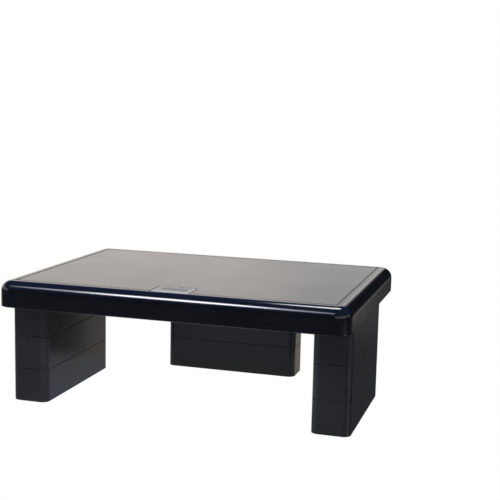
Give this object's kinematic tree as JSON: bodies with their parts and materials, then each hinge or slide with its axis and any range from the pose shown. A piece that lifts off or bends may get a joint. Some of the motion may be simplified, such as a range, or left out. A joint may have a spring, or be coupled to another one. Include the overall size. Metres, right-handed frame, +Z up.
{
  "type": "monitor riser",
  "caption": "Low desk stand for a monitor: flat skirted deck with a grooved border and a blank badge, on stacked plug-in leg blocks that set its height.",
  "frame": {"origin": "on the floor, under the middle of the deck", "axes": "+X to the right along the deck's long side, +Y from the front towards the rear leg, +Z up"},
  "size_m": [0.445, 0.316, 0.1614],
  "materials": {
    "deck_plastic": "black moulded plastic, finely textured flat top, polished rounded edge and skirt",
    "badge_plastic": "dark grey satin plastic, blank",
    "block_plastic": "black moulded plastic, satin",
    "cap_plastic": "black moulded plastic, matt",
    "pad_rubber": "black non-slip rubber"
  },
  "bodies": {
    "deck": {"deck_shell": "deck_plastic", "badge": "badge_plastic"},
    "left_upper": {"left_leg_upper_block": "block_plastic"},
    "left_middle": {"left_leg_middle_block": "block_plastic"},
    "left_lower": {"left_leg_lower_block": "block_plastic", "left_foot_cap": "cap_plastic", "left_foot_pad_1": "pad_rubber", "left_foot_pad_2": "pad_rubber", "left_foot_pad_3": "pad_rubber", "left_foot_pad_4": "pad_rubber"},
    "right_upper": {"right_leg_upper_block": "block_plastic"},
    "right_middle": {"right_leg_middle_block": "block_plastic"},
    "right_lower": {"right_leg_lower_block": "block_plastic", "right_foot_cap": "cap_plastic", "right_foot_pad_1": "pad_rubber", "right_foot_pad_2": "pad_rubber", "right_foot_pad_3": "pad_rubber", "right_foot_pad_4": "pad_rubber"},
    "rear_upper": {"rear_leg_upper_block": "block_plastic"},
    "rear_middle": {"rear_leg_middle_block": "block_plastic"},
    "rear_lower": {"rear_leg_lower_block": "block_plastic", "rear_foot_cap": "cap_plastic", "rear_foot_pad_1": "pad_rubber", "rear_foot_pad_2": "pad_rubber", "rear_foot_pad_3": "pad_rubber", "rear_foot_pad_4": "pad_rubber"}
  },
  "joints": [
    {"name": "left_upper_pull", "type": "slide", "parent": "deck", "child": "left_upper", "axis": [0, 0, -1], "range_m": [0, 0.015]},
    {"name": "left_middle_pull", "type": "slide", "parent": "left_upper", "child": "left_middle", "axis": [0, 0, -1], "range_m": [0, 0.015]},
    {"name": "left_lower_pull", "type": "slide", "parent": "left_middle", "child": "left_lower", "axis": [0, 0, -1], "range_m": [0, 0.015]},
    {"name": "right_upper_pull", "type": "slide", "parent": "deck", "child": "right_upper", "axis": [0, 0, -1], "range_m": [0, 0.015]},
    {"name": "right_middle_pull", "type": "slide", "parent": "right_upper", "child": "right_middle", "axis": [0, 0, -1], "range_m": [0, 0.015]},
    {"name": "right_lower_pull", "type": "slide", "parent": "right_middle", "child": "right_lower", "axis": [0, 0, -1], "range_m": [0, 0.015]},
    {"name": "rear_upper_pull", "type": "slide", "parent": "deck", "child": "rear_upper", "axis": [0, 0, -1], "range_m": [0, 0.015]},
    {"name": "rear_middle_pull", "type": "slide", "parent": "rear_upper", "child": "rear_middle", "axis": [0, 0, -1], "range_m": [0, 0.015]},
    {"name": "rear_lower_pull", "type": "slide", "parent": "rear_middle", "child": "rear_lower", "axis": [0, 0, -1], "range_m": [0, 0.015]}
  ]
}
